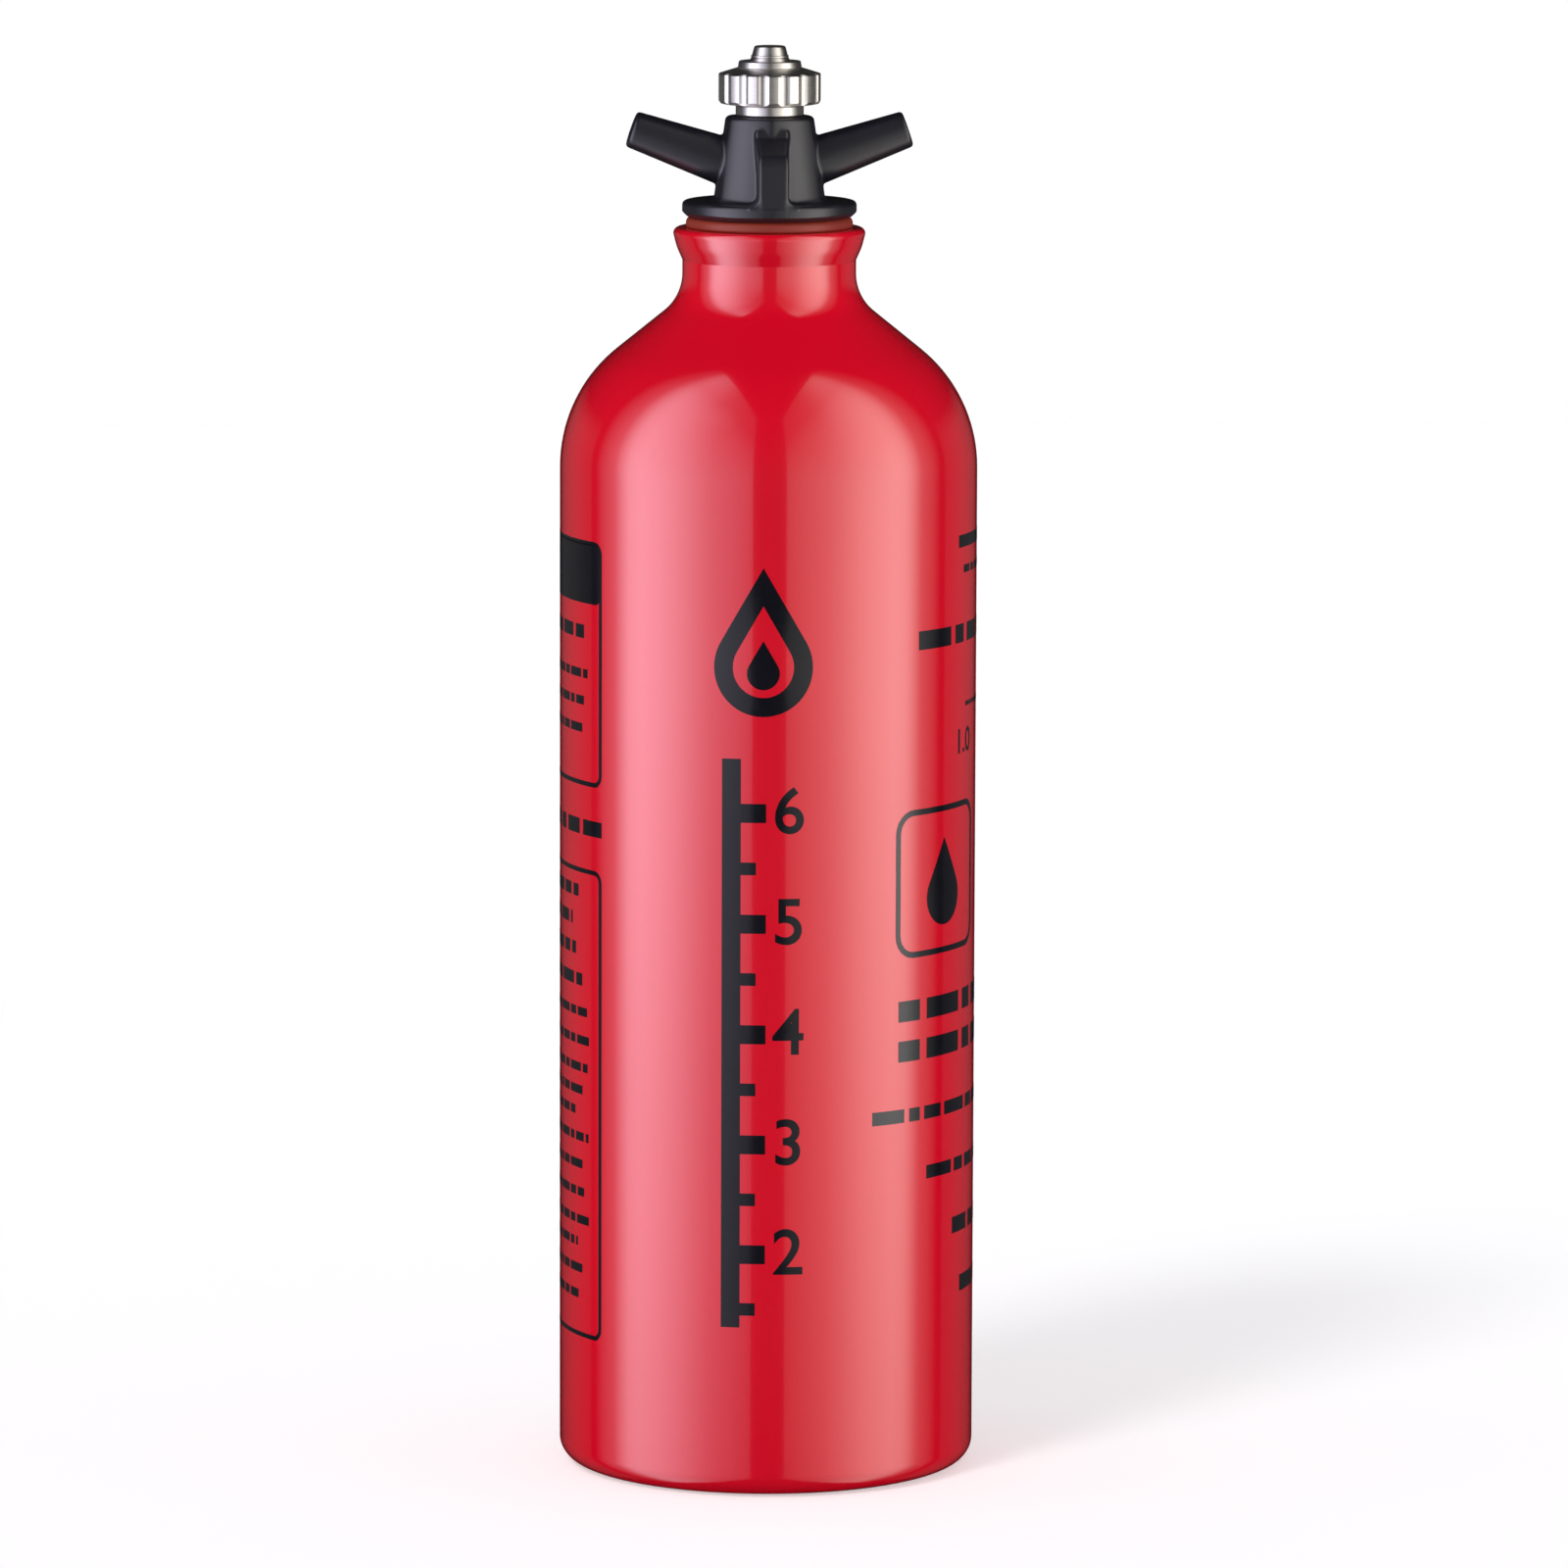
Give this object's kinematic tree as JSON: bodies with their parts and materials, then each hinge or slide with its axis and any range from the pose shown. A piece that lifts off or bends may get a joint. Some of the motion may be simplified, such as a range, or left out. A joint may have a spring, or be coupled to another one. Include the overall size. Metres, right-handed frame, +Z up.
{
  "type": "camping fuel bottle",
  "caption": "Red aluminium camping fuel bottle with rounded shoulder, threaded neck and a black screw-in pouring stopper with spout arms and a metal valve knob.",
  "frame": {"origin": "centre of the bottle's standing ring, on the surface it stands on", "axes": "+Z up along the bottle's axis, +X along the right-hand spout arm, front at -Y"},
  "size_m": [0.08, 0.08, 0.2736],
  "materials": {
    "red_coat": "gloss red coat on aluminium",
    "black_nylon": "satin moulded",
    "gasket_rubber": "matt moulded",
    "seal_rubber": "matt moulded",
    "bright_steel": "fine turned",
    "turned_brass": "turned"
  },
  "bodies": {
    "bottle": {"bottle_shell": "red_coat"},
    "gasket": {"stopper_gasket": "gasket_rubber"},
    "stopper": {"stopper_body": "black_nylon", "valve_gland": "bright_steel", "gland_seal_ring": "seal_rubber", "spindle_seal_ring": "seal_rubber"},
    "jumper": {"valve_jumper": "turned_brass", "seat_washer": "seal_rubber", "seat_washer_screw": "turned_brass"},
    "knob": {"valve_spindle": "bright_steel", "knob_wheel": "bright_steel", "knob_washer": "bright_steel", "knob_cap_nut": "bright_steel"}
  },
  "joints": [
    {"name": "stopper_lift", "type": "slide", "parent": "bottle", "child": "gasket", "axis": [0, 0, 1], "range_m": [0, 0.0125]},
    {"name": "stopper_turn", "type": "hinge", "parent": "gasket", "child": "stopper", "pos_m": [0, 0, 0.241], "axis": [0, 0, 1], "range_deg": [0, 1800]},
    {"name": "valve_lift", "type": "slide", "parent": "stopper", "child": "jumper", "axis": [0, 0, 1], "range_m": [0, 0.002]},
    {"name": "knob_turn", "type": "hinge", "parent": "jumper", "child": "knob", "pos_m": [0, 0, 0.265], "axis": [0, 0, 1], "range_deg": [0, 720]}
  ],
  "couplings": [
    {"joint": "stopper_lift", "follows": "stopper_turn", "m_per_rad": 0.00039788},
    {"joint": "valve_lift", "follows": "knob_turn", "m_per_rad": 0.00015915}
  ]
}
